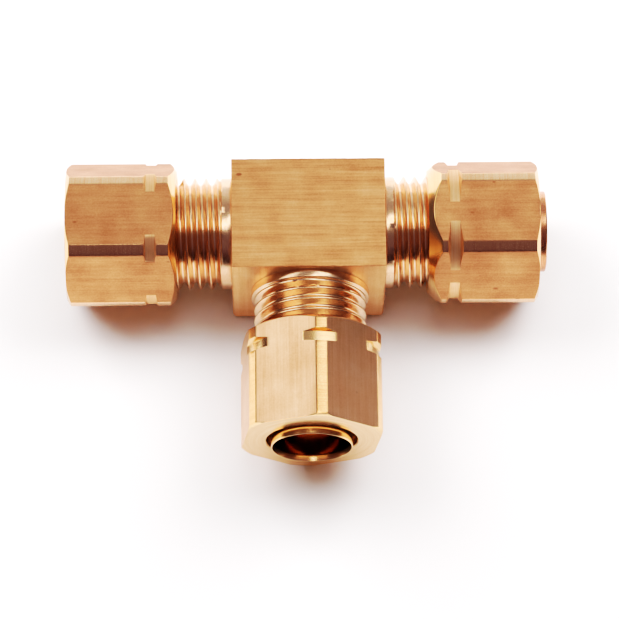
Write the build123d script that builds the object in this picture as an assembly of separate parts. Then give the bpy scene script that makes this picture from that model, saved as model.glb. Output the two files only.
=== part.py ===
from build123d import *

# Brass union tee for flared tube: one machined block body with three male threaded ends,
# three hex nuts and three loose sleeves. 37 degree seats, tube outside diameter 9.525 mm (3/8 in).
#
# Frame: origin where the run axis and the branch axis cross, +Z up, run along X, branch along -Y.
# Millimetres throughout.

import math
import os

# ---------------------------------------------------------------- driving dimensions
PITCH = 25.4 / 18            # 9/16-18 UNF thread
MALE_MAJOR_R = 7.08
MALE_ROOT_R = 6.25
CREST_FLAT = PITCH / 8
NUT_THREAD_R = 7.15          # the nut's tapped length is a plain bore that clears the male crests
TAN30 = math.tan(math.radians(30))
SEAT_ANGLE = 37.0            # half angle of the flare seat

# body block
BLOCK_W = 19.4               # along X
BLOCK_X = -0.15              # the block stands a little to the left of the branch axis
BLOCK_BACK = 6.80            # run axis to the back face
BLOCK_FRONT = 8.04           # run axis to the branch face
BLOCK_TOP = 8.15             # run axis to the top face
BLOCK_H = 16.60              # along Z
BLOCK_TOP_BREAK = 0.10
BLOCK_BOTTOM_R = 0.5

# male ends: distance from the origin to the nose tip, and radius of the plain collar at the block
RUN_NOSE = 23.15
BRANCH_NOSE = 22.15
RUN_COLLAR_R = 7.08
BRANCH_COLLAR_R = 7.45
COLLAR_L = 1.05
UNDERCUT_L = 0.45            # thread undercut beside the collar
SEAT_LAND = 0.35             # plain land between the thread and the seat
FLOW_R = 3.77
NOSE_TIP_R = 4.40
SEAT_BASE_R = 6.15

# sleeve
SLEEVE_L = 8.5
SLEEVE_BORE_R = 4.83
SLEEVE_MOUTH_R = 6.00        # large end of the inner cone
SLEEVE_HEAD_R = 6.25
SLEEVE_HEAD_L = 3.20
SLEEVE_TAIL_R = 5.50
SLEEVE_TIP_R = 5.12          # the last 2 mm of the tail is turned down
SLEEVE_TIP_L = 2.0

# nut
NUT_L = 14.0
HEX_AF = 16.8                # across flats
HEX_CORNER_R = 9.30          # hex corners are turned to this radius
NUT_BORE_R = 5.68
NUT_ENTRY_R = 7.35           # plain counterbore at the threaded end
THREAD_FROM, THREAD_TO = 0.85, 8.00
NUT_RELIEF_R = 7.35          # thread relief, and the large end of the inner shoulder
SHOULDER_AT = 8.75
NOTCH_FROM_END = 3.30        # notch centre from the threaded end
NOTCH_FLOOR_W = 1.20
NOTCH_FLANK = math.tan(math.radians(24))

# where each piece stands on its arm (outer end of the nut, tail end of the sleeve)
LEFT_NUT_END, LEFT_SLEEVE_END = 30.80, 30.35
RIGHT_NUT_END, RIGHT_SLEEVE_END = 29.00, 30.05
BRANCH_NUT_END, BRANCH_SLEEVE_END = 28.25, 29.13

# arm frames: local z points outward along the arm, local x points up
RIGHT = Plane(origin=(0, 0, 0), x_dir=(0, 0, 1), z_dir=(1, 0, 0))
LEFT = Plane(origin=(0, 0, 0), x_dir=(0, 0, 1), z_dir=(-1, 0, 0))
BRANCH = Plane(origin=(0, 0, 0), x_dir=(0, 0, 1), z_dir=(0, -1, 0))


def ring(points):
    """Solid of revolution about local z from (radius, z) points."""
    face = make_face(Polyline(*[(r, 0, z) for r, z in points], close=True))
    return revolve(face, Axis.Z, 360)


def male_end(face, nose, collar_r):
    """One threaded end in the arm frame, from inside the block to the nose tip: plain collar, thread
    undercut, thread, and the conical seat on the nose. The thread is a row of 60 degree ridges at the
    true pitch, depth and crest width, each ridge a closed ring instead of a turn of one helix."""
    seat_l = (SEAT_BASE_R - NOSE_TIP_R) / math.tan(math.radians(SEAT_ANGLE))
    collar_end = face + COLLAR_L
    low = collar_end + UNDERCUT_L
    high = nose - seat_l - SEAT_LAND
    flank = (MALE_MAJOR_R - MALE_ROOT_R) * TAN30
    count = int((high - low) / PITCH)
    first = high - (count - 0.5) * PITCH
    outline = [
        (0, 0),
        (collar_r - 0.5, 0),
        (collar_r - 0.5, face - 1.0),
        (collar_r, face - 0.5),
        (collar_r, collar_end - 0.10),
        (collar_r - 0.10, collar_end),
        (MALE_ROOT_R, collar_end),
    ]
    for i in range(count):
        at = first + i * PITCH
        outline += [
            (MALE_ROOT_R, at - CREST_FLAT / 2 - flank),
            (MALE_MAJOR_R, at - CREST_FLAT / 2),
            (MALE_MAJOR_R, at + CREST_FLAT / 2),
            (MALE_ROOT_R, at + CREST_FLAT / 2 + flank),
        ]
    outline += [(MALE_ROOT_R, high), (SEAT_BASE_R, nose - seat_l), (NOSE_TIP_R, nose), (0, nose)]
    return ring(outline)


def sleeve():
    """Sleeve in the arm frame with its head face at z = 0 and its tail end at z = SLEEVE_L."""
    cone_l = (SLEEVE_MOUTH_R - SLEEVE_BORE_R) / math.tan(math.radians(SEAT_ANGLE))
    shoulder = SLEEVE_HEAD_R - SLEEVE_TAIL_R
    return ring(
        [
            (SLEEVE_MOUTH_R, 0),
            (SLEEVE_HEAD_R - 0.10, 0),
            (SLEEVE_HEAD_R, 0.10),
            (SLEEVE_HEAD_R, SLEEVE_HEAD_L),
            (SLEEVE_TAIL_R, SLEEVE_HEAD_L + shoulder),
            (SLEEVE_TAIL_R, SLEEVE_L - SLEEVE_TIP_L - 0.38),
            (SLEEVE_TIP_R, SLEEVE_L - SLEEVE_TIP_L),
            (SLEEVE_TIP_R, SLEEVE_L - 0.12),
            (SLEEVE_TIP_R - 0.12, SLEEVE_L),
            (SLEEVE_BORE_R + 0.08, SLEEVE_L),
            (SLEEVE_BORE_R, SLEEVE_L - 0.10),
            (SLEEVE_BORE_R, cone_l),
        ]
    )


def nut(flat_angle, notch_r, chamfer_l, end_r, end_l):
    """Hex nut in its own frame: threaded end face at z = 0, outer end at z = NUT_L.
    flat_angle turns one flat's normal from local x."""
    a = HEX_AF / 2
    prism = Rotation(0, 0, flat_angle - 30) * extrude(
        RegularPolygon(radius=a / math.cos(math.radians(30)), side_count=6), NUT_L
    )
    envelope = ring(
        [
            (0, 0),
            (7.80, 0),
            (HEX_CORNER_R, chamfer_l),
            (HEX_CORNER_R, NUT_L - end_l),
            (end_r, NUT_L),
            (0, NUT_L),
        ]
    )
    bore = ring(
        [
            (0, -1),
            (NUT_ENTRY_R + 0.20, -1),
            (NUT_ENTRY_R + 0.20, 0),
            (NUT_ENTRY_R, 0.20),
            (NUT_ENTRY_R, THREAD_FROM),
            (NUT_THREAD_R, THREAD_FROM),
            (NUT_THREAD_R, THREAD_TO),
            (NUT_RELIEF_R, THREAD_TO),
            (NUT_RELIEF_R, SHOULDER_AT),
            (NUT_BORE_R, SHOULDER_AT + NUT_RELIEF_R - NUT_BORE_R),
            (NUT_BORE_R, NUT_L - 0.12),
            (NUT_BORE_R + 0.12, NUT_L),
            (NUT_BORE_R + 0.12, NUT_L + 1),
            (0, NUT_L + 1),
        ]
    )
    half = NOTCH_FLOOR_W / 2
    rise = 10.2 - notch_r
    notch = ring(
        [
            (notch_r, NOTCH_FROM_END - half),
            (10.2, NOTCH_FROM_END - half - rise * NOTCH_FLANK),
            (10.2, NOTCH_FROM_END + half + rise * NOTCH_FLANK),
            (notch_r, NOTCH_FROM_END + half),
        ]
    )
    return (prism & envelope) - bore - notch


def nut_on_arm(plane, end, flat_angle, notch_r, chamfer_l, end_r=8.45, end_l=0.50):
    return plane * (Pos(0, 0, end - NUT_L) * nut(flat_angle, notch_r, chamfer_l, end_r, end_l))


def body():
    depth = BLOCK_BACK + BLOCK_FRONT
    block = Pos(BLOCK_X, (BLOCK_BACK - BLOCK_FRONT) / 2, BLOCK_TOP - BLOCK_H / 2) * Box(BLOCK_W, depth, BLOCK_H)
    edges = block.edges()
    bottom = [e for e in edges if e.center().Z < BLOCK_TOP - BLOCK_H + 0.01]
    block = fillet(bottom, BLOCK_BOTTOM_R)
    top = block.faces().sort_by(Axis.Z)[-1].edges()
    block = chamfer(top, BLOCK_TOP_BREAK)
    uprights = [
        e for e in block.edges()
        if abs(e.tangent_at(0.5).Z) > 0.99 and e.length > 5
    ]
    block = chamfer(uprights, 0.08)
    whole = (
        block
        + RIGHT * male_end(BLOCK_W / 2, RUN_NOSE, RUN_COLLAR_R)
        + LEFT * male_end(BLOCK_W / 2, RUN_NOSE, RUN_COLLAR_R)
        + BRANCH * male_end(BLOCK_FRONT, BRANCH_NOSE, BRANCH_COLLAR_R)
    )
    def drill(nose, start):
        return ring([(0, start), (FLOW_R, start), (FLOW_R, nose - 0.25), (FLOW_R + 0.25, nose), (FLOW_R + 0.25, nose + 1), (0, nose + 1)])
    return whole - RIGHT * drill(RUN_NOSE, -1) - LEFT * drill(RUN_NOSE, -1) - BRANCH * drill(BRANCH_NOSE, 0)


os.makedirs("parts", exist_ok=True)
PIECES = {
    "tee_body": lambda: body(),
    "left_nut": lambda: nut_on_arm(LEFT, LEFT_NUT_END, -5.5, 8.90, 1.05),
    "right_nut": lambda: nut_on_arm(RIGHT, RIGHT_NUT_END, 4.4, 8.50, 1.68),
    "branch_nut": lambda: nut_on_arm(BRANCH, BRANCH_NUT_END, 22.5, 8.72, 1.00, 8.95, 0.20),
    "left_sleeve": lambda: LEFT * (Pos(0, 0, LEFT_SLEEVE_END - SLEEVE_L) * sleeve()),
    "right_sleeve": lambda: RIGHT * (Pos(0, 0, RIGHT_SLEEVE_END - SLEEVE_L) * sleeve()),
    "branch_sleeve": lambda: BRANCH * (Pos(0, 0, BRANCH_SLEEVE_END - SLEEVE_L) * sleeve()),
}
for name, make in PIECES.items():
    shape = make()
    solids = shape.solids()
    print(name, len(solids), round(sum(s.volume for s in solids), 2), all(s.is_valid for s in solids), flush=True)
    export_step(solids[0] if len(solids) == 1 else Compound(solids), f"parts/{name}.step")
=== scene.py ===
"""Brass union tee for flared tube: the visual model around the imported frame."""
import math

import bmesh
import bpy
import numpy as np
from mathutils import Matrix, Vector


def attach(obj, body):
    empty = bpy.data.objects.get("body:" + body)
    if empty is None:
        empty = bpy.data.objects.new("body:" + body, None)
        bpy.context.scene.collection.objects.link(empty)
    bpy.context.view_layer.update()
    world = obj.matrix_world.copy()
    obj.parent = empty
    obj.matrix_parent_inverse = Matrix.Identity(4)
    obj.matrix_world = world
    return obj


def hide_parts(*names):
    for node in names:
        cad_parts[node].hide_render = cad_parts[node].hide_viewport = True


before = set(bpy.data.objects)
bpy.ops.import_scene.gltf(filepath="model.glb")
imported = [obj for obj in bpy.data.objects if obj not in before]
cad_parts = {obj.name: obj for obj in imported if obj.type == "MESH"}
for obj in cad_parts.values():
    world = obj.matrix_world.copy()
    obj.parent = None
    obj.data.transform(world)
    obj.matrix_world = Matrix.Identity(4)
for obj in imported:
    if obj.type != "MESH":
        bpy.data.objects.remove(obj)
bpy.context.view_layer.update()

MM = 0.001
PITCH = 25.4 / 18
TAN30 = math.tan(math.radians(30))

# ------------------------------------------------------------------ sizes, the same as the CAD's
MALE_R, ROOT_R = 7.08, 6.25
NUT_MINOR, NUT_MAJOR, FLANK_GAP = 6.48, 7.25, 0.07
LEFT_X, RIGHT_X, BACK, FRONT, TOP, BOTTOM = -9.85, 9.55, 6.80, 8.04, 8.15, -8.45
FLOW_R, TIP_R, SEAT_R = 3.77, 4.40, 6.15
SEAT_L = (SEAT_R - TIP_R) / math.tan(math.radians(37))
NUT_L, HEX, CORNER_R = 14.0, 8.40, 9.30
NUT_BORE, RELIEF_R, SHOULDER, THREAD_TO = 5.68, 7.35, 8.75, 8.00
NOTCH_AT, NOTCH_HALF, NOTCH_TAN = 3.30, 0.60, math.tan(math.radians(24))
SLEEVE_L = 8.5

ARMS = {  # local axes as columns: x_dir (up), y_dir, z_dir (outward)
    "right": np.array([(0, 0, 1), (0, -1, 0), (1, 0, 0)], float),
    "left": np.array([(0, 0, 1), (0, 1, 0), (-1, 0, 0)], float),
    "branch": np.array([(0, 0, 1), (-1, 0, 0), (0, -1, 0)], float),
}
PHASE = {"right": (-68.0, 12.06), "left": (68.0, 11.69), "branch": (0.0, 10.38)}
SAWN, SATIN, TURNED, THREAD, BORE = range(5)


def smin(a, b, k):
    h = np.clip(0.5 + 0.5 * (b - a) / k, 0, 1)
    return b * (1 - h) + a * h - k * h * (1 - h)


def smax(a, b, k):
    return -smin(-a, -b, k)


class Shell:
    """Collects quads and polygons in millimetres, welds coincident corners and makes one closed mesh."""

    def __init__(self):
        self.points, self.faces, self.mats, self.count = [], [], [], 0

    def add(self, pts):
        pts = np.asarray(pts, float).reshape(-1, 3)
        start = self.count
        self.points.append(pts)
        self.count += len(pts)
        return start

    def grid(self, rows, mat, closed=True, shift=0):
        """rows: (R, N, 3). mat: a number, or an array (R-1, N). shift is how many rows the seam climbs."""
        rows = np.asarray(rows, float)
        R, N, _ = rows.shape
        base = self.add(rows)
        cols = N if closed else N - 1
        for j in range(cols):
            jn = (j + 1) % N
            sh = shift if (closed and j == N - 1) else 0
            for i in range(R - 1):
                a, b = i, i + 1
                c, d = i + 1 + sh, i + sh
                if c >= R or d < 0 or d >= R or c < 0:
                    continue
                self.faces.append((base + a * N + j, base + b * N + j, base + c * N + jn, base + d * N + jn))
                self.mats.append(int(mat[i][j]) if not np.isscalar(mat) else mat)

    def poly(self, pts, mat):
        base = self.add(pts)
        self.faces.append(tuple(range(base, base + len(pts))))
        self.mats.append(mat)

    def tris(self, pts, tris, mat):
        base = self.add(pts)
        for t in tris:
            self.faces.append(tuple(base + i for i in t))
            self.mats.append(mat)

    def build(self, name, materials, sharp=38):
        pts = np.concatenate(self.points)
        key = np.round(pts / 2e-4).astype(np.int64)
        _, first, inverse = np.unique(key, axis=0, return_index=True, return_inverse=True)
        inverse = inverse.reshape(-1)
        faces, mats = [], []
        for f, m in zip(self.faces, self.mats):
            g = []
            for i in f:
                v = int(inverse[i])
                if v not in g:
                    g.append(v)
            if len(g) > 2:
                faces.append(g)
                mats.append(m)
        mesh = bpy.data.meshes.new(name)
        mesh.from_pydata((pts[first] * MM).tolist(), [], faces)
        mesh.polygons.foreach_set("material_index", np.array(mats, np.int32))
        mesh.validate()
        bm = bmesh.new()
        bm.from_mesh(mesh)
        bmesh.ops.delete(bm, geom=[v for v in bm.verts if not v.link_faces], context="VERTS")
        bmesh.ops.recalc_face_normals(bm, faces=bm.faces)
        loose = sum(1 for e in bm.edges if len(e.link_faces) != 2)
        if bm.calc_volume(signed=True) < 0:
            bmesh.ops.reverse_faces(bm, faces=bm.faces)
        print("PIECE", name, "faces", len(bm.faces), "open edges", loose, "volume mm3", round(bm.calc_volume() * 1e9, 1))
        bm.to_mesh(mesh)
        bm.free()
        mesh.polygons.foreach_set("use_smooth", np.ones(len(mesh.polygons), bool))
        mesh.set_sharp_from_angle(angle=math.radians(sharp))
        obj = bpy.data.objects.new(name, mesh)
        bpy.context.scene.collection.objects.link(obj)
        for m in materials:
            mesh.materials.append(m)
        return obj


def rounded(points, radius=0.05, n=3):
    """The (radius, z) profile with each inner corner turned into a small arc."""
    pts = [np.array(p[:2], float) for p in points]
    rad = [p[2] if len(p) > 2 else radius for p in points]
    out = [pts[0]]
    for i in range(1, len(pts) - 1):
        a, b, c = pts[i - 1], pts[i], pts[i + 1]
        u, v = a - b, c - b
        lu, lv = np.linalg.norm(u), np.linalg.norm(v)
        if rad[i] <= 0 or lu < 1e-6 or lv < 1e-6:
            out.append(b)
            continue
        u, v = u / lu, v / lv
        cosang = np.clip(np.dot(u, v), -1, 1)
        half = math.acos(cosang) / 2
        if half > math.radians(88):
            out.append(b)
            continue
        d = min(rad[i] / math.tan(half), 0.45 * lu, 0.45 * lv)
        for k in range(n + 1):
            t = k / n
            p = (1 - t) ** 2 * (b + u * d) + 2 * t * (1 - t) * b + t ** 2 * (b + v * d)
            out.append(p)
    out.append(pts[-1])
    return out


def rows_from(profile, theta):
    rows = np.zeros((len(profile), len(theta), 3))
    for i, (r, z) in enumerate(profile):
        rows[i, :, 0] = r * np.cos(theta)
        rows[i, :, 1] = r * np.sin(theta)
        rows[i, :, 2] = z
    return rows


def to_world(rows, axes):
    return np.asarray(rows) @ axes


def polar(r, theta, z):
    r, theta, z = np.broadcast_arrays(r, theta, z)
    return np.stack([r * np.cos(theta), r * np.sin(theta), z], -1)


# thread profile: distance along the axis from a crest, in pitches
U_MALE = np.array([0, 0.035, 0.05, 0.065, 0.085, 0.12, 0.19, 0.27, 0.34, 0.375, 0.4, 0.43, 0.465])
U_MALE = np.concatenate([U_MALE, [0.5], 1 - U_MALE[:0:-1]])
U_NUT = np.array([0, 0.03, 0.06, 0.15, 0.28, 0.36, 0.42, 0.5, 0.58, 0.64, 0.72, 0.85, 0.94, 0.97])


def male_radius(theta, z, phase):
    ang, crest = phase
    u = (z - crest) / PITCH - (theta - math.radians(ang)) / (2 * math.pi)
    d = np.abs(u - np.round(u)) * PITCH
    raw = MALE_R - (d - PITCH / 16) / TAN30
    return smax(smin(raw, MALE_R, 0.07), ROOT_R, 0.12)


def nut_radius(theta, z, phase):
    ang, crest = phase
    u = (z - crest) / PITCH - (theta - math.radians(ang)) / (2 * math.pi)
    d = np.abs(u - np.round(u)) * PITCH
    opening = PITCH / 8 + 2 * (MALE_R - NUT_MAJOR) * TAN30 + 2 * FLANK_GAP
    raw = NUT_MAJOR - (d - opening / 2) / TAN30
    return smax(smin(raw, NUT_MAJOR, 0.04), NUT_MINOR, 0.04)


def thread_patch(shell, theta, lo, hi, radius, phase, us, mat, axes):
    """A grid whose rows climb with the helix, cut off square at lo and hi."""
    ang, crest = phase
    n = len(us)
    t0 = theta[0]
    k0 = math.floor((lo - crest) / PITCH) - 2
    k1 = math.ceil((hi - crest) / PITCH) + 2
    base = np.concatenate([k + us for k in range(k0, k1 + 1)])
    z = crest + PITCH * (base[:, None] + (theta[None, :] - math.radians(ang)) / (2 * math.pi))
    z = np.clip(z, lo, hi)
    keep = (z.max(1) > lo) | (z.min(1) < hi)
    r = radius(np.broadcast_to(theta, z.shape), z)
    shell.grid(to_world(polar(r, theta[None, :], z), axes), mat, closed=True, shift=n)


# ------------------------------------------------------------------ tee body
def value_noise(x, seed, scale):
    """Smooth one-dimensional noise in -1..1, the same every run."""
    g = np.random.default_rng(seed).uniform(-1, 1, 4096)
    t = np.asarray(x) / scale + 1000.5
    i = np.floor(t).astype(int)
    f = t - i
    f = f * f * (3 - 2 * f)
    return g[i % 4096] * (1 - f) + g[(i + 1) % 4096] * f


def block(shell, holes):
    x0, x1, y0, y1 = LEFT_X, RIGHT_X, -FRONT, BACK
    step = 0.16

    def outline(rv):
        pts, nrm, tag = [], [], []
        corners = [((x0 + rv, y0 + rv), 180), ((x1 - rv, y0 + rv), 270), ((x1 - rv, y1 - rv), 0), ((x0 + rv, y1 - rv), 90)]
        w, d = x1 - x0, y1 - y0
        sides = [
            (lambda t: (x0 + rv + t * (w - 2 * rv), y0), (0, -1), w, "front"),
            (lambda t: (x1, y0 + rv + t * (d - 2 * rv)), (1, 0), d, "right"),
            (lambda t: (x1 - rv - t * (w - 2 * rv), y1), (0, 1), w, "back"),
            (lambda t: (x0, y1 - rv - t * (d - 2 * rv)), (-1, 0), d, "left"),
        ]
        for s_, (fn, n, length, name) in enumerate(sides):
            (cx, cy), a0 = corners[s_]
            for k in range(1, 6):
                a = math.radians(a0 + 90 * k / 6)
                pts.append((cx + rv * math.cos(a), cy + rv * math.sin(a)))
                nrm.append((math.cos(a), math.sin(a)))
                tag.append("corner")
            m = int(math.ceil(length / step))
            for k in range(m + 1):
                pts.append(fn(k / m))
                nrm.append(n)
                tag.append(name)
        return np.array(pts), np.array(nrm, float), tag

    pts, nrm, tag = outline(0.13)
    low = outline(0.55)[0]
    N = len(pts)
    along = pts[:, 0] * 1.0 + pts[:, 1] * 1.7 + np.where(np.array([t == "front" for t in tag]), 40.0, 0.0)
    rag = 0.022 * value_noise(along, 3, 0.45) + 0.014 * value_noise(along, 4, 0.17)
    drop = 0.020 * value_noise(along, 5, 0.6) + 0.012 * value_noise(along, 6, 0.21)
    front = np.array([t == "front" for t in tag])
    burr = front * np.exp(-((pts[:, 0] - 1.2) / 3.2) ** 2)
    rag = rag + burr * (0.075 * value_noise(pts[:, 0], 7, 0.32) + 0.05 * value_noise(pts[:, 0], 8, 0.11))
    drop = drop + burr * 0.06 * value_noise(pts[:, 0], 9, 0.4)
    rows = []

    def level(z, inset, k_rag=0.0, k_drop=0.0, base=pts):
        q = base - nrm * inset - nrm * (np.maximum(rag, -0.02) * k_rag)[:, None]
        rows.append(np.column_stack([q, np.full(N, z) - np.maximum(drop, 0) * k_drop]))

    def flat(z, inset):
        c = np.array([(x0 + x1) / 2, (y0 + y1) / 2])
        half = np.array([(x1 - x0) / 2, (y1 - y0) / 2])
        rows.append(np.column_stack([c + (pts - c) * (1 - inset / half), np.full(N, z)]))

    R = 0.5
    flat(BOTTOM, 3.0)
    flat(BOTTOM, 1.5)
    for k in range(8)[::-1]:
        a = math.pi / 2 * k / 7
        level(BOTTOM + R * (1 - math.sin(a)), R * (1 - math.cos(a)), base=low)
    wall_at = len(rows) - 1
    level(TOP - 0.35, 0.0)
    level(TOP - 0.11, 0.004, 0.25, 0.2)
    level(TOP - 0.045, 0.018, 0.7, 0.6)
    level(TOP - 0.012, 0.045, 1.0, 0.9)
    level(TOP - 0.002, 0.085, 1.0, 0.6)
    flat(TOP, 0.30)
    flat(TOP, 0.42)
    flat(TOP, 1.2)
    flat(TOP, 3.0)
    rows = np.array(rows)
    mats = np.full((len(rows) - 1, N), SATIN)
    mats[wall_at + 3:, :] = SAWN
    mats[:2, :] = SAWN
    # the wall band is built apart, because three of its sides have a hole
    shell.grid(rows[: wall_at + 1], mats[:wall_at])
    shell.grid(rows[wall_at + 1:], mats[wall_at + 1:])
    shell.poly(rows[0][::-1], SAWN)
    shell.poly(rows[-1], SAWN)
    lower, upper = rows[wall_at], rows[wall_at + 1]
    idx = {n: [i for i, t in enumerate(tag) if t == n] for n in ("front", "right", "back", "left")}
    for i in range(N):
        j = (i + 1) % N
        if tag[i] == tag[j] and tag[i] in holes:
            continue
        shell.poly([lower[i], lower[j], upper[j], upper[i]], SATIN)
    for name, circle in holes.items():
        ids = idx[name]
        outline = [lower[i] for i in ids] + [upper[i] for i in ids[::-1]]
        bm = bmesh.new()
        ev = [bm.verts.new(p) for p in outline]
        cv = [bm.verts.new(p) for p in circle]
        edges = [bm.edges.new((ev[i], ev[(i + 1) % len(ev)])) for i in range(len(ev))]
        edges += [bm.edges.new((cv[i], cv[(i + 1) % len(cv)])) for i in range(len(cv))]
        bmesh.ops.triangle_fill(bm, use_beauty=True, use_dissolve=False, edges=edges)
        bm.verts.index_update()
        allp = [tuple(v.co) for v in bm.verts]
        # bmesh stores single precision, so the corners are put back exactly
        exact = outline + list(circle)
        shell.tris(exact, [[v.index for v in f.verts] for f in bm.faces], SATIN)
        bm.free()


ARM = {  # face, nose, collar radius, where the thread run-out starts, its length, neck radius at the block
    "right": (RIGHT_X, 23.15, 7.08, 10.60, 0.75, 6.80),
    "left": (-LEFT_X, 23.15, 7.08, 11.05, 0.80, 6.80),
    "branch": (FRONT, 22.15, 7.45, 9.42, 0.55, 7.00),
}


def arm(shell, name, theta):
    axes, phase = ARMS[name], PHASE[name]
    face, nose, collar, lo, fade, neck = ARM[name]
    hi = nose - SEAT_L - 0.30
    lead = lambda z: SEAT_R - 0.02 + (hi - z) * 1.0
    wash = lambda z: MALE_R - (z - lo) * (MALE_R - ROOT_R + 0.1) / fade

    def radius(th, z):
        r = male_radius(th, z, phase)
        r = smax(r, wash(z), 0.10)
        r = smin(r, MALE_R, 0.02)
        return smin(r, lead(z), 0.08)

    thread_patch(shell, theta, lo, hi, radius, phase, U_MALE, THREAD, axes)
    start = float(radius(np.array([0.3]), np.array([lo]))[0])
    if name == "branch":
        before = rounded([(neck, face), (neck, face + 0.03, 0), (collar, face + 0.03, 0.03), (collar, lo - 0.34, 0.12), (start + 0.01, lo - 0.20, 0.1), (start, lo)], 0.05)
    else:
        before = rounded([(neck, face), (neck, face + 0.03, 0), (collar, face + 0.03, 0.03), (collar, (face + lo) / 2), (start, lo)], 0.05)
    rows = np.array([rows_from([p], theta)[0] for p in before])
    end = float(radius(np.array([0.3]), np.array([hi]))[0])
    rows[-1] = polar(radius(theta, np.full_like(theta, lo)), theta, lo)
    shell.grid(to_world(rows, axes), THREAD)
    after = rounded([(end, hi), (SEAT_R, nose - SEAT_L, 0.05), (TIP_R, nose, 0.10), (FLOW_R + 0.25, nose, 0.04), (FLOW_R, nose - 0.25, 0.04), (FLOW_R, nose - 1.2)], 0.05)
    rows = rows_from(after, theta)
    rows[0] = polar(radius(theta, np.full_like(theta, hi)), theta, hi)
    mats = np.full((len(after) - 1, len(theta)), TURNED)
    shell.grid(to_world(rows, axes), mats)
    return to_world(polar(neck, theta, face), axes)


def tee_body(materials):
    shell = Shell()
    n = 160
    theta = np.arange(n) * 2 * math.pi / n
    circles = {}
    for name in ARMS:
        circles[{"right": "right", "left": "left", "branch": "front"}[name]] = arm(shell, name, theta)
    block(shell, circles)
    # inside: the run and the branch passages, equal cylinders that meet on two mitre planes
    for name in ("right", "left"):
        axes = ARMS[name]
        rows = []
        stop = ARM[name][1] - 1.2
        for t in (0, 0.25, 0.5, 0.75, 0.9, 1.0):
            p = polar(FLOW_R, theta, 0.0)
            w = to_world(p, axes)
            end = np.where(w[:, 1] < -1e-9, -w[:, 1], 0.0)
            rows.append(polar(FLOW_R, theta, stop + (end - stop) * t))
        shell.grid(to_world(np.array(rows), axes), BORE)
    axes = ARMS["branch"]
    rows = []
    stop = ARM["branch"][1] - 1.2
    w = to_world(polar(FLOW_R, theta, 0.0), axes)
    for t in (0, 0.25, 0.5, 0.75, 0.9, 1.0):
        rows.append(polar(FLOW_R, theta, stop + (np.abs(w[:, 0]) - stop) * t))
    shell.grid(to_world(np.array(rows), axes), BORE)
    return shell.build("tee_body_brass", materials)


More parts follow.
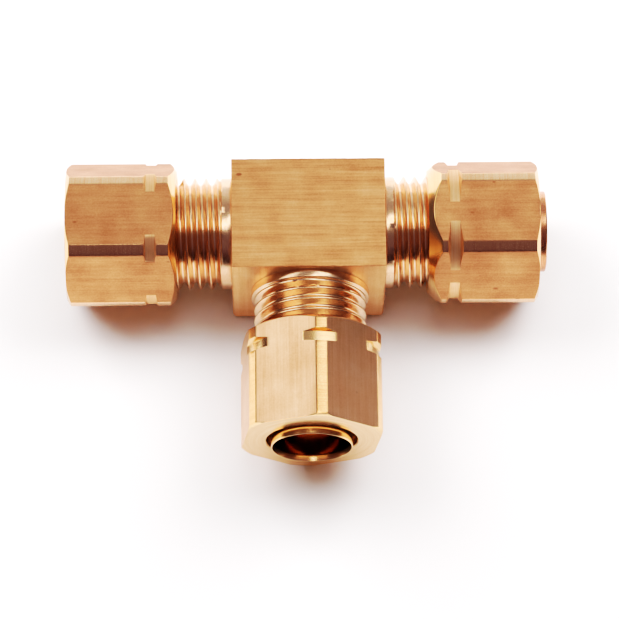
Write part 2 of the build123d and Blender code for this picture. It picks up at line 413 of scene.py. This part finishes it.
# ------------------------------------------------------------------ nuts
def nut(name, end, flat_deg, notch_r, chamfer_l, materials, end_r=8.45, end_l=0.50, face_r=7.80, shift=0.0, groove=(0.0, 0.0)):
    """shift puts the end chamfer off centre and groove puts the notch off centre, as (amount, direction), both in mm and degrees."""
    axes = ARMS[name]
    ang, crest = PHASE[name]
    start = end - NUT_L
    phase = (ang, crest - start)
    h = math.degrees(math.acos(HEX / CORNER_R))
    sector = np.concatenate([
        np.linspace(-h + 1.6, h - 1.6, 34), [h - 1.1, h - 0.7, h - 0.35, h, h + 0.35, h + 0.8, h + 1.4],
        np.linspace(h + 2.2, 60 - h - 2.2, 5), [60 - h - 1.4, 60 - h - 0.8, 60 - h - 0.35, 60 - h, 60 - h + 0.35, 60 - h + 0.7, 60 - h + 1.1]])
    theta = np.concatenate([sector + 60 * k for k in range(6)]) + flat_deg
    local = (theta - flat_deg + 30) % 60 - 30
    theta = np.radians(theta)
    hexr = HEX / np.cos(np.radians(local))
    R0 = smin(hexr, np.full_like(hexr, CORNER_R), 0.09)
    s1 = chamfer_l / (CORNER_R - face_r)
    s2 = end_l / (CORNER_R - end_r)
    face_at = face_r + shift * (1 - np.cos(theta)) / 2
    notch_at = notch_r + groove[0] * np.cos(theta - math.radians(groove[1]))
    e1 = np.maximum((R0 - face_at) * s1, 0.05)
    e2 = np.minimum(NUT_L - (R0 - end_r) * s2, NUT_L - 0.02)
    depth = np.maximum(R0 - notch_at, 0)
    w1 = NOTCH_AT - NOTCH_HALF - depth * NOTCH_TAN
    w2 = NOTCH_AT + NOTCH_HALF + depth * NOTCH_TAN
    f1, f2 = NOTCH_AT - NOTCH_HALF + 0 * R0, NOTCH_AT + NOTCH_HALF + 0 * R0
    zero, top = 0 * R0, NUT_L + 0 * R0
    zs, kind = [zero], []

    def span(a, b, ts, k):
        for t in ts:
            zs.append(a + (b - a) * t)
            kind.append(k)

    span(zero, e1, (0.3, 0.6, 0.82, 0.93, 1), "turned")
    span(e1, w1, (0.03, 0.08, 0.2, 0.5, 0.8, 0.92, 0.97, 1), "hex")
    span(w1, f1, (0.12, 0.5, 0.88, 1), "notch")
    span(f1, f2, (0.06, 0.2, 0.5, 0.8, 0.94, 1), "notch")
    span(f2, w2, (0.12, 0.5, 0.88, 1), "notch")
    span(w2, e2, (0.015, 0.04, 0.12, 0.3, 0.5, 0.7, 0.88, 0.96, 0.985, 1), "hex")
    span(e2, top, (0.15, 0.4, 0.7, 1), "turned")
    zs = np.array(zs)
    cone1 = face_at + zs / s1
    cone2 = end_r + (NUT_L - zs) / s2
    notch = notch_at + np.maximum(np.abs(zs - NOTCH_AT) - NOTCH_HALF, 0) / NOTCH_TAN
    r = smin(np.broadcast_to(R0, zs.shape), cone1, 0.07)
    r = smin(r, cone2, 0.06)
    r = smin(r, notch, 0.035)
    mats = np.zeros((len(zs) - 1, len(theta)), int)
    on_corner = np.abs(local) > h
    for i, k in enumerate(kind):
        if k == "turned":
            mats[i] = 1
        elif k == "hex":
            mats[i] = np.where(on_corner, 2, 0)
        else:
            mats[i] = np.where(depth > 0.01, 3, 0)
    shell = Shell()
    place = lambda rows: to_world(np.asarray(rows) + np.array([0, 0, start]), axes)
    shell.grid(place(polar(r, theta[None, :], zs)), mats)
    # outer end face, mouth, bore, inner shoulder, relief
    mouth = NUT_BORE + 0.12
    r_end = r[-1]
    rows = [polar(r_end + (mouth - r_end) * t, theta, NUT_L) for t in (0, 0.04, 0.35, 0.7, 0.95, 1)]
    rows += list(rows_from(rounded([(mouth, NUT_L), (NUT_BORE, NUT_L - 0.12), (NUT_BORE, SHOULDER + RELIEF_R - NUT_BORE), (RELIEF_R, SHOULDER), (RELIEF_R, THREAD_TO)], 0.05), theta)[1:])
    shell.grid(place(rows), 1)

    def radius(th, z):
        v = nut_radius(th, z, phase)
        v = smax(v, 7.50 - z, 0.05)
        return smax(v, RELIEF_R - (THREAD_TO - z), 0.05)

    lo, hi = 0.0, THREAD_TO
    inner = Shell()
    thread_patch(inner, theta, lo, hi, radius, phase, U_NUT, 1, np.eye(3))
    shell_pts = place(np.concatenate(inner.points))
    base = shell.add(shell_pts)
    for f, m in zip(inner.faces, inner.mats):
        shell.faces.append(tuple(base + i for i in f))
        shell.mats.append(m)
    r_hi = radius(theta, np.full_like(theta, hi))
    shell.grid(place([polar(np.full_like(theta, RELIEF_R), theta, hi), polar(r_hi, theta, hi)]), 1)
    r_lo = radius(theta, np.full_like(theta, lo))
    r0 = r[0]
    shell.grid(place([polar(r_lo, theta, 0), polar(r_lo + (r0 - r_lo) * 0.5, theta, 0), polar(r0, theta, 0)]), 1)
    return shell.build(name + "_nut_brass", materials)


def sleeve(name, end, materials):
    axes = ARMS[name]
    n = 144
    theta = np.arange(n) * 2 * math.pi / n
    cone = (6.00 - 4.83) / math.tan(math.radians(37))
    prof = [(6.00, 0), (6.15, 0, 0), (6.25, 0.10, 0.05), (6.25, 3.20, 0.06), (5.50, 3.95, 0.10), (5.50, SLEEVE_L - 2.38, 0.12), (5.12, SLEEVE_L - 2.0, 0.12),
            (5.12, SLEEVE_L - 0.12, 0.08), (5.03, SLEEVE_L, 0.05), (4.96, SLEEVE_L, 0.03), (4.83, SLEEVE_L - 0.70, 0.30), (4.83, 7.2, 0), (4.83, 4.5, 0), (4.83, cone, 0.08), (6.00, 0)]
    shell = Shell()
    rows = rows_from(rounded(prof, 0.05, 4), theta) + np.array([0, 0, end - SLEEVE_L])
    mats = np.zeros((len(rows) - 1, n), int)
    inside = [i for i in range(len(rows) - 1) if rows[i, 0, 0] < 4.84 and rows[i + 1, 0, 0] < 4.84]
    mats[inside] = 1
    shell.grid(to_world(rows, axes), mats)
    return shell.build(name + "_sleeve_brass", materials)


# ------------------------------------------------------------------ materials
def new_material(name):
    m = bpy.data.materials.new(name)
    m.use_nodes = True
    nt = m.node_tree
    nt.nodes.clear()
    out = nt.nodes.new("ShaderNodeOutputMaterial")
    bsdf = nt.nodes.new("ShaderNodeBsdfPrincipled")
    nt.links.new(bsdf.outputs[0], out.inputs[0])
    bsdf.inputs["Metallic"].default_value = 1.0
    return m, nt, bsdf


def brass(name, dark, mid, light, rough, line_scale, line_amount, bump, axis="x", turned=None, speck=0.5, anis=0.0):
    """A brushed or turned brass. line_scale stretches the grain: small along the lines, large across them.
    turned is the arm whose axis the rings go round; otherwise the lines run along `axis`."""
    m, nt, bsdf = new_material(name)
    N, L = nt.nodes.new, nt.links.new
    coord = N("ShaderNodeTexCoord")
    src = coord.outputs["Object"]

    def mapped(scale, rot=(0, 0, 0)):
        mp = N("ShaderNodeMapping")
        mp.inputs["Scale"].default_value = scale
        mp.inputs["Rotation"].default_value = rot
        L(src, mp.inputs["Vector"])
        return mp.outputs[0]

    def noise(vec, scale, detail=3.0, rough_=0.6):
        t = N("ShaderNodeTexNoise")
        t.inputs["Scale"].default_value = scale
        t.inputs["Detail"].default_value = detail
        t.inputs["Roughness"].default_value = rough_
        L(vec, t.inputs["Vector"])
        return t.outputs["Fac"]

    def math_(op, a, b=None, clamp=False):
        n = N("ShaderNodeMath")
        n.operation = op
        n.use_clamp = clamp
        for i, v in enumerate((a, b)):
            if v is None:
                continue
            if isinstance(v, (int, float)):
                n.inputs[i].default_value = v
            else:
                L(v, n.inputs[i])
        return n.outputs[0]

    def remap(v, a, b, c, d):
        n = N("ShaderNodeMapRange")
        n.inputs["From Min"].default_value = a
        n.inputs["From Max"].default_value = b
        n.inputs["To Min"].default_value = c
        n.inputs["To Max"].default_value = d
        L(v, n.inputs["Value"])
        return n.outputs[0]

    if turned:
        # rings: the grain depends on the distance along the axis and out from it, not on the angle
        sep = N("ShaderNodeSeparateXYZ")
        L(src, sep.inputs[0])
        along, side_, up_ = {"x": (0, 1, 2), "y": (1, 0, 2)}[turned]
        rad = math_("SQRT", math_("ADD", math_("MULTIPLY", sep.outputs[side_], sep.outputs[side_]), math_("MULTIPLY", sep.outputs[up_], sep.outputs[up_])))
        comb = N("ShaderNodeCombineXYZ")
        L(sep.outputs[along], comb.inputs[0])
        L(rad, comb.inputs[1])
        L(math_("MULTIPLY", math_("ARCTAN2", sep.outputs[side_], sep.outputs[up_]), 0.0002), comb.inputs[2])
        fine = noise(comb.outputs[0], 9000.0, 2.0)
        coarse = noise(comb.outputs[0], 2200.0, 3.0)
    else:
        s = {"x": (line_scale[0], line_scale[1], line_scale[1]), "y": (line_scale[1], line_scale[0], line_scale[1]), "z": (line_scale[1], line_scale[1], line_scale[0])}[axis]
        tilt = math.radians(line_scale[2]) if len(line_scale) > 2 else 0.0
        fine = noise(mapped(s, (0, 0, tilt)), 1.0, 4.0, 0.65)
        s2 = tuple(v * 0.27 for v in s)
        coarse = noise(mapped(s2, (0, 0, tilt * 0.6)), 1.0, 3.0, 0.6)
    blotch = noise(mapped((1, 1, 1)), 260.0, 4.0, 0.55)
    grain = noise(mapped((1, 1, 1)), 5200.0, 2.0, 0.5)
    lines = math_("ADD", math_("MULTIPLY", fine, 0.6), math_("MULTIPLY", coarse, 0.4))
    mixv = math_("ADD", math_("MULTIPLY", lines, line_amount), math_("MULTIPLY", math_("ADD", math_("MULTIPLY", blotch, 0.65), math_("MULTIPLY", grain, 0.35)), 1 - line_amount))
    fac = remap(mixv, 0.36, 0.64, 0.0, 1.0)
    ramp = N("ShaderNodeValToRGB")
    ramp.color_ramp.elements[0].position = 0.0
    ramp.color_ramp.elements[0].color = (*dark, 1)
    ramp.color_ramp.elements[1].position = 1.0
    ramp.color_ramp.elements[1].color = (*light, 1)
    e = ramp.color_ramp.elements.new(0.5)
    e.color = (*mid, 1)
    L(fac, ramp.inputs[0])
    color = ramp.outputs[0]
    height = math_("MULTIPLY", lines, 1.0)
    if speck > 0:
        vor = N("ShaderNodeTexVoronoi")
        vor.inputs["Scale"].default_value = 620.0
        vor.inputs["Randomness"].default_value = 1.0
        L(mapped((0.55, 1.0, 1.0)), vor.inputs["Vector"])
        pick = N("ShaderNodeSeparateColor")
        L(vor.outputs["Color"], pick.inputs[0])
        size = remap(pick.outputs[0], 0.86, 1.0, 0.0, 0.17)
        spot = remap(math_("SUBTRACT", size, vor.outputs["Distance"]), -0.02, 0.05, 0.0, speck)
        mix = N("ShaderNodeMix")
        mix.data_type = "RGBA"
        L(spot, mix.inputs[0])
        L(color, mix.inputs[6])
        mix.inputs[7].default_value = (dark[0] * 0.50, dark[1] * 0.34, dark[2] * 0.30, 1)
        color = mix.outputs[2]
        height = math_("SUBTRACT", height, math_("MULTIPLY", spot, 0.8))
    L(color, bsdf.inputs["Base Color"])
    L(remap(mixv, 0.3, 0.7, rough[1], rough[0]), bsdf.inputs["Roughness"])
    b = N("ShaderNodeBump")
    b.inputs["Strength"].default_value = bump[0]
    b.inputs["Distance"].default_value = bump[1]
    L(height, b.inputs["Height"])
    L(b.outputs[0], bsdf.inputs["Normal"])
    return m


GOLD_D, GOLD_M, GOLD_L = (0.77, 0.36, 0.135), (0.88, 0.46, 0.19), (0.95, 0.56, 0.26)
sawn = brass("brass_sawn", (0.58, 0.235, 0.09), (0.81, 0.370, 0.165), (0.95, 0.52, 0.27), (0.38, 0.54), (150.0, 4200.0, 2.2), 0.58, (0.60, 0.00005), axis="x", speck=0.80)
satin_z = brass("brass_extruded", (0.76, 0.38, 0.17), (0.89, 0.49, 0.235), (0.96, 0.60, 0.32), (0.36, 0.52), (90.0, 3800.0), 0.40, (0.30, 0.00003), axis="z", speck=0.5)
# painted shade: the flats of the run nuts get a darker copy of the drawn brass than the branch nut's flats, standing in
# for how dimly they are lit
drawn_run_painted_shade = brass("brass_drawn_run_painted_shade", (0.46, 0.185, 0.076), (0.61, 0.262, 0.118), (0.74, 0.36, 0.170), (0.42, 0.56), (130.0, 4000.0), 0.42, (0.34, 0.00004), axis="x", speck=0.6)
flat_y = brass("brass_drawn_branch", (0.70, 0.34, 0.17), (0.83, 0.455, 0.24), (0.93, 0.57, 0.32), (0.32, 0.44), (120.0, 4600.0), 0.50, (0.30, 0.00003), axis="y", speck=0.35)
corner_x = brass("brass_corner_run", (0.80, 0.40, 0.20), (0.90, 0.52, 0.28), (0.96, 0.62, 0.36), (0.18, 0.30), (60.0, 3000.0), 0.5, (0.20, 0.00002), turned="x", speck=0.3)
corner_y = brass("brass_corner_branch", GOLD_D, GOLD_M, GOLD_L, (0.14, 0.24), (60.0, 3000.0), 0.5, (0.08, 0.00001), turned="y", speck=0.2)
turned_x = brass("brass_turned_run", (0.83, 0.44, 0.18), (0.90, 0.52, 0.23), (0.96, 0.62, 0.31), (0.12, 0.24), (1, 1), 0.7, (0.22, 0.00002), turned="x", speck=0.0)
turned_y = brass("brass_turned_branch", (0.84, 0.46, 0.20), (0.91, 0.54, 0.25), (0.96, 0.64, 0.33), (0.14, 0.26), (1, 1), 0.7, (0.22, 0.00002), turned="y", speck=0.0)
thread_m = brass("brass_thread", (0.76, 0.42, 0.23), (0.86, 0.53, 0.315), (0.93, 0.64, 0.41), (0.15, 0.26), (300.0, 2500.0), 0.3, (0.12, 0.00002), axis="z", speck=0.12)
notch_x = brass("brass_notch_run", (0.84, 0.44, 0.21), (0.92, 0.53, 0.27), (0.97, 0.62, 0.34), (0.44, 0.58), (1, 1), 0.7, (0.22, 0.00002), turned="x", speck=0.0)
# painted shade: the inside passages of the body get a darker brass, standing in for the shade inside them
bore_painted_shade = brass("brass_bored_painted_shade", (0.56, 0.24, 0.07), (0.70, 0.33, 0.11), (0.84, 0.46, 0.18), (0.20, 0.34), (300.0, 2500.0), 0.4, (0.2, 0.00002), axis="x", speck=0.2)
# painted shade: the run sleeves get a darker copy of the sleeve brass than the branch sleeve, standing in for how dimly
# they are lit
sleeve_run_painted_shade = brass("brass_sleeve_run_painted_shade", (0.54, 0.20, 0.10), (0.66, 0.27, 0.14), (0.76, 0.36, 0.19), (0.20, 0.34), (1, 1), 0.7, (0.22, 0.00002), turned="x", speck=0.0)
sleeve_y = brass("brass_sleeve_branch", (0.80, 0.42, 0.18), (0.90, 0.52, 0.24), (0.96, 0.62, 0.31), (0.14, 0.26), (1, 1), 0.7, (0.22, 0.00002), turned="y", speck=0.0)
# painted shade: the bores of the sleeves get a dark brass, standing in for the shade deep inside them
sleeve_bore_painted_shade = brass("brass_sleeve_bore", (0.42, 0.15, 0.05), (0.60, 0.26, 0.09), (0.74, 0.38, 0.15), (0.06, 0.14), (1, 1), 0.5, (0.12, 0.00002), turned="y", speck=0.0)

# ------------------------------------------------------------------ pieces
pieces = {}
body = tee_body([sawn, satin_z, turned_x, thread_m, bore_painted_shade])
pieces["tee_body"] = body
pieces["left_nut"] = nut("left", 30.80, -5.5, 8.90, 1.05, [drawn_run_painted_shade, turned_x, corner_x, notch_x], shift=0.55)
pieces["right_nut"] = nut("right", 29.00, 4.4, 8.49, 1.68, [drawn_run_painted_shade, turned_x, corner_x, notch_x], groove=(0.035, -85.0))
pieces["branch_nut"] = nut("branch", 28.25, 22.5, 8.72, 1.00, [flat_y, turned_y, corner_y, turned_y], end_r=8.95, end_l=0.20)
pieces["left_sleeve"] = sleeve("left", 30.35, [sleeve_run_painted_shade, sleeve_bore_painted_shade])
pieces["right_sleeve"] = sleeve("right", 30.05, [sleeve_run_painted_shade, sleeve_bore_painted_shade])
pieces["branch_sleeve"] = sleeve("branch", 29.13, [sleeve_y, sleeve_bore_painted_shade])
for node, piece in pieces.items():
    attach(piece, node)
    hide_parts(node)

# ------------------------------------------------------------------ floor, light, camera
def floor_z(y):
    return -8.693 + 0.03836 * y


fm, fnt, fb = new_material("floor_paper")
fb.inputs["Metallic"].default_value = 0.0
fb.inputs["Base Color"].default_value = (0.93, 0.93, 0.95, 1)
fb.inputs["Roughness"].default_value = 0.75
fb.inputs["Specular IOR Level"].default_value = 0.2
S = 3000.0
mesh = bpy.data.meshes.new("floor")
mesh.from_pydata([(x * MM, y * MM, floor_z(y) * MM) for x, y in ((-S, -S), (S, -S), (S, S), (-S, S))], [], [(0, 1, 2, 3)])
mesh.materials.append(fm)
floor = bpy.data.objects.new("floor", mesh)
bpy.context.scene.collection.objects.link(floor)


def area(name, direction, distance, size, energy, color=(1, 1, 1), target=(0, -6, 0)):
    d = Vector(direction).normalized()
    light = bpy.data.lights.new(name, "AREA")
    light.shape = "RECTANGLE"
    light.size, light.size_y = size[0] * MM, size[1] * MM
    light.energy = energy
    light.color = color
    o = bpy.data.objects.new(name, light)
    o.location = (Vector(target) + d * distance) * MM
    o.rotation_euler = (-d).to_track_quat("-Z", "Y").to_euler()
    bpy.context.scene.collection.objects.link(o)
    return o


def power(radiance, size):
    return radiance * math.pi * size[0] * size[1] * MM * MM


for name, direction, distance, size, radiance, colour in (
    ("softbox_top", (0.035, 0.035, 1.0), 420, (112, 265), 4.6, (1.0, 0.99, 0.98)),
    ("softbox_left", (-0.63, 0.39, 0.67), 430, (270, 250), 2.8, (1.0, 0.99, 0.98)),
    ("softbox_right", (0.42, 0.39, 0.82), 430, (155, 200), 3.0, (1.0, 0.99, 0.98)),
):
    area(name, direction, distance, size, power(radiance, size), colour)
# three big boxes behind and to the sides that light only the paper, so that the shadows fall forward
for name, direction, distance, size, radiance in (
    ("paper_left", (-0.60, 0.42, 0.72), 620, (420, 420), 14.0),
    ("paper_right", (0.56, 0.42, 0.76), 620, (420, 420), 14.0),
    ("paper_back", (0.0, 0.40, 1.0), 700, (300, 300), 9.6),
):
    area(name, direction, distance, size, power(radiance, size), (0.99, 0.99, 1.0)).visible_glossy = False

world = bpy.data.worlds.new("studio")
bpy.context.scene.world = world
world.use_nodes = True
wn = world.node_tree
wn.nodes.clear()
wo = wn.nodes.new("ShaderNodeOutputWorld")
bg = wn.nodes.new("ShaderNodeBackground")
wc = wn.nodes.new("ShaderNodeTexCoord")
ws = wn.nodes.new("ShaderNodeSeparateXYZ")
wn.links.new(wc.outputs["Generated"], ws.inputs[0])
def world_ramp(stops, source):
    node = wn.nodes.new("ShaderNodeValToRGB")
    cr = node.color_ramp
    while len(cr.elements) < len(stops):
        cr.elements.new(0.5)
    for el, (at, colour) in zip(cr.elements, stops):
        el.position = at
        el.color = (*colour, 1)
    wn.links.new(source, node.inputs[0])
    return node.outputs[0]


front_sky = world_ramp([(0.0, (0.03, 0.008, 0.012)), (0.30, (0.08, 0.03, 0.04)), (0.62, (0.27, 0.18, 0.23)), (0.85, (0.29, 0.195, 0.24)), (1.0, (0.32, 0.26, 0.26))], ws.outputs["Z"])
back_sky = world_ramp([(0.0, (1.80, 1.80, 1.86)), (0.40, (1.45, 1.42, 1.46)), (0.70, (0.70, 0.66, 0.68)), (1.0, (0.42, 0.39, 0.40))], ws.outputs["Z"])
wr = wn.nodes.new("ShaderNodeMapRange")
wr.interpolation_type = "SMOOTHSTEP"
wr.inputs["From Min"].default_value = -0.20
wr.inputs["From Max"].default_value = 0.30
wn.links.new(ws.outputs["Y"], wr.inputs["Value"])
both = wn.nodes.new("ShaderNodeMix")
both.data_type = "RGBA"
wn.links.new(wr.outputs[0], both.inputs[0])
wn.links.new(front_sky, both.inputs[6])
wn.links.new(back_sky, both.inputs[7])
beside = wn.nodes.new("ShaderNodeMath")
beside.operation = "ABSOLUTE"
wn.links.new(ws.outputs["X"], beside.inputs[0])
far = wn.nodes.new("ShaderNodeMapRange")
far.interpolation_type = "SMOOTHSTEP"
far.inputs["From Min"].default_value = 0.60
far.inputs["From Max"].default_value = 0.88
wn.links.new(beside.outputs[0], far.inputs["Value"])
sides = wn.nodes.new("ShaderNodeMix")
sides.data_type = "RGBA"
sides.inputs[7].default_value = (0.16, 0.11, 0.125, 1)
wn.links.new(far.outputs[0], sides.inputs[0])
wn.links.new(both.outputs[2], sides.inputs[6])
wn.links.new(sides.outputs[2], bg.inputs[0])

bg.inputs[1].default_value = 1.0
paper = wn.nodes.new("ShaderNodeBackground")
paper.inputs[0].default_value = (3.0, 3.0, 3.0, 1)
seen = wn.nodes.new("ShaderNodeLightPath")
pick = wn.nodes.new("ShaderNodeMixShader")
wn.links.new(seen.outputs["Is Camera Ray"], pick.inputs[0])
wn.links.new(bg.outputs[0], pick.inputs[1])
wn.links.new(paper.outputs[0], pick.inputs[2])
# what the paper itself gets from all round is weak and warm, the colour thrown by the metal beside it
warm = wn.nodes.new("ShaderNodeBackground")
warm.inputs[0].default_value = (0.34, 0.185, 0.12, 1)
bounce = wn.nodes.new("ShaderNodeMixShader")
wn.links.new(seen.outputs["Is Diffuse Ray"], bounce.inputs[0])
wn.links.new(pick.outputs[0], bounce.inputs[1])
wn.links.new(warm.outputs[0], bounce.inputs[2])
wn.links.new(bounce.outputs[0], wo.inputs[0])

e, a, r = (math.radians(v) for v in (67.605, -1.749, 1.151))
back = Vector((math.sin(a) * math.cos(e), -math.cos(a) * math.cos(e), math.sin(e)))
right = Vector((math.cos(a), math.sin(a), 0))
up = back.cross(right)
rr = math.cos(r) * right + math.sin(r) * up
uu = -math.sin(r) * right + math.cos(r) * up
SCALE, DIST = 7.835, 490.0
X0, Y0 = (309.191 - 309.5) / SCALE, -(233.33 - 309.5) / SCALE
loc = DIST * back - X0 * rr - Y0 * uu
cam = bpy.data.cameras.new("camera")
cam.sensor_width = 36.0
cam.lens = SCALE * DIST * 36.0 / 619.0
cam.clip_start, cam.clip_end = 0.01, 20.0
co = bpy.data.objects.new("camera", cam)
m = Matrix((rr, uu, back)).transposed().to_4x4()
m.translation = loc * MM
co.matrix_world = m
bpy.context.scene.collection.objects.link(co)
bpy.context.scene.camera = co
bpy.context.scene.view_settings.view_transform = "Standard"
bpy.context.scene.view_settings.look = "None"
# a film-like curve: a short toe, a straight middle and highlights rolled off towards white at 3
view = bpy.context.scene.view_settings
view.use_curve_mapping = True
curves = view.curve_mapping
curves.white_level = (3.0, 3.0, 3.0)
film = curves.curves[3]
for x, y in ((0.05, 0.018), (0.10, 0.045), (0.20, 0.117), (0.30, 0.20), (0.40, 0.295), (0.50, 0.38), (0.70, 0.50), (1.0, 0.62), (1.3, 0.71), (1.6, 0.785), (2.0, 0.86), (2.5, 0.935)):
    film.points.new(x / 3.0, y)
curves.update()

bpy.context.view_layer.update()
